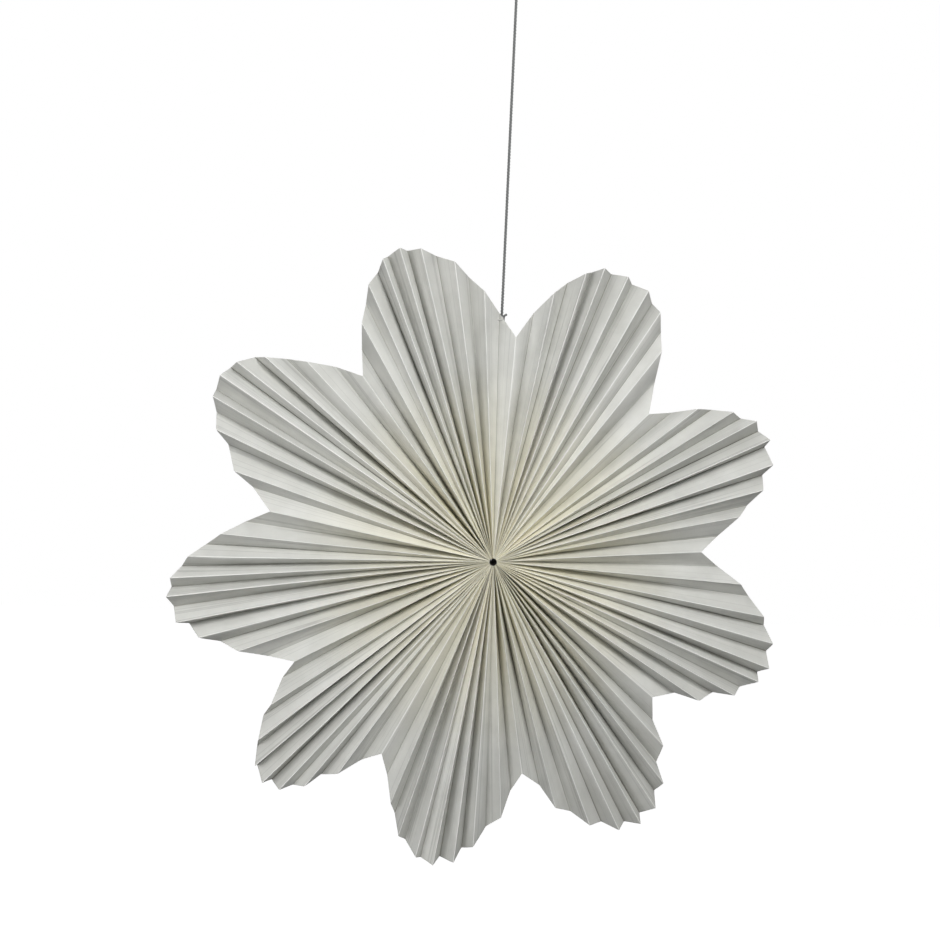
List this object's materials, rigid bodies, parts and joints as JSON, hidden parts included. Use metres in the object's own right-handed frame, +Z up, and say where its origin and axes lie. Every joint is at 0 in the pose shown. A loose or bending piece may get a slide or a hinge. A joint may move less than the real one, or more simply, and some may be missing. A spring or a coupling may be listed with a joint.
{
  "type": "hanging paper star",
  "caption": "Pleated paper rosette star with round petals, hung on a cord with a loop, as a seasonal window or ceiling ornament.",
  "frame": {"origin": "inside top of the hanging loop, where a hook bears", "axes": "+Z up along the hanging cord, the star's front faces -Y, +X to the right as seen from the front"},
  "size_m": [0.5845, 0.0248, 0.881],
  "materials": {
    "paper": "matte",
    "cord": "matte"
  },
  "bodies": {
    "root": {"pleated_star": "paper", "hanging_cord": "cord", "tie_knot": "cord", "hanging_loop": "cord"}
  },
  "joints": []
}
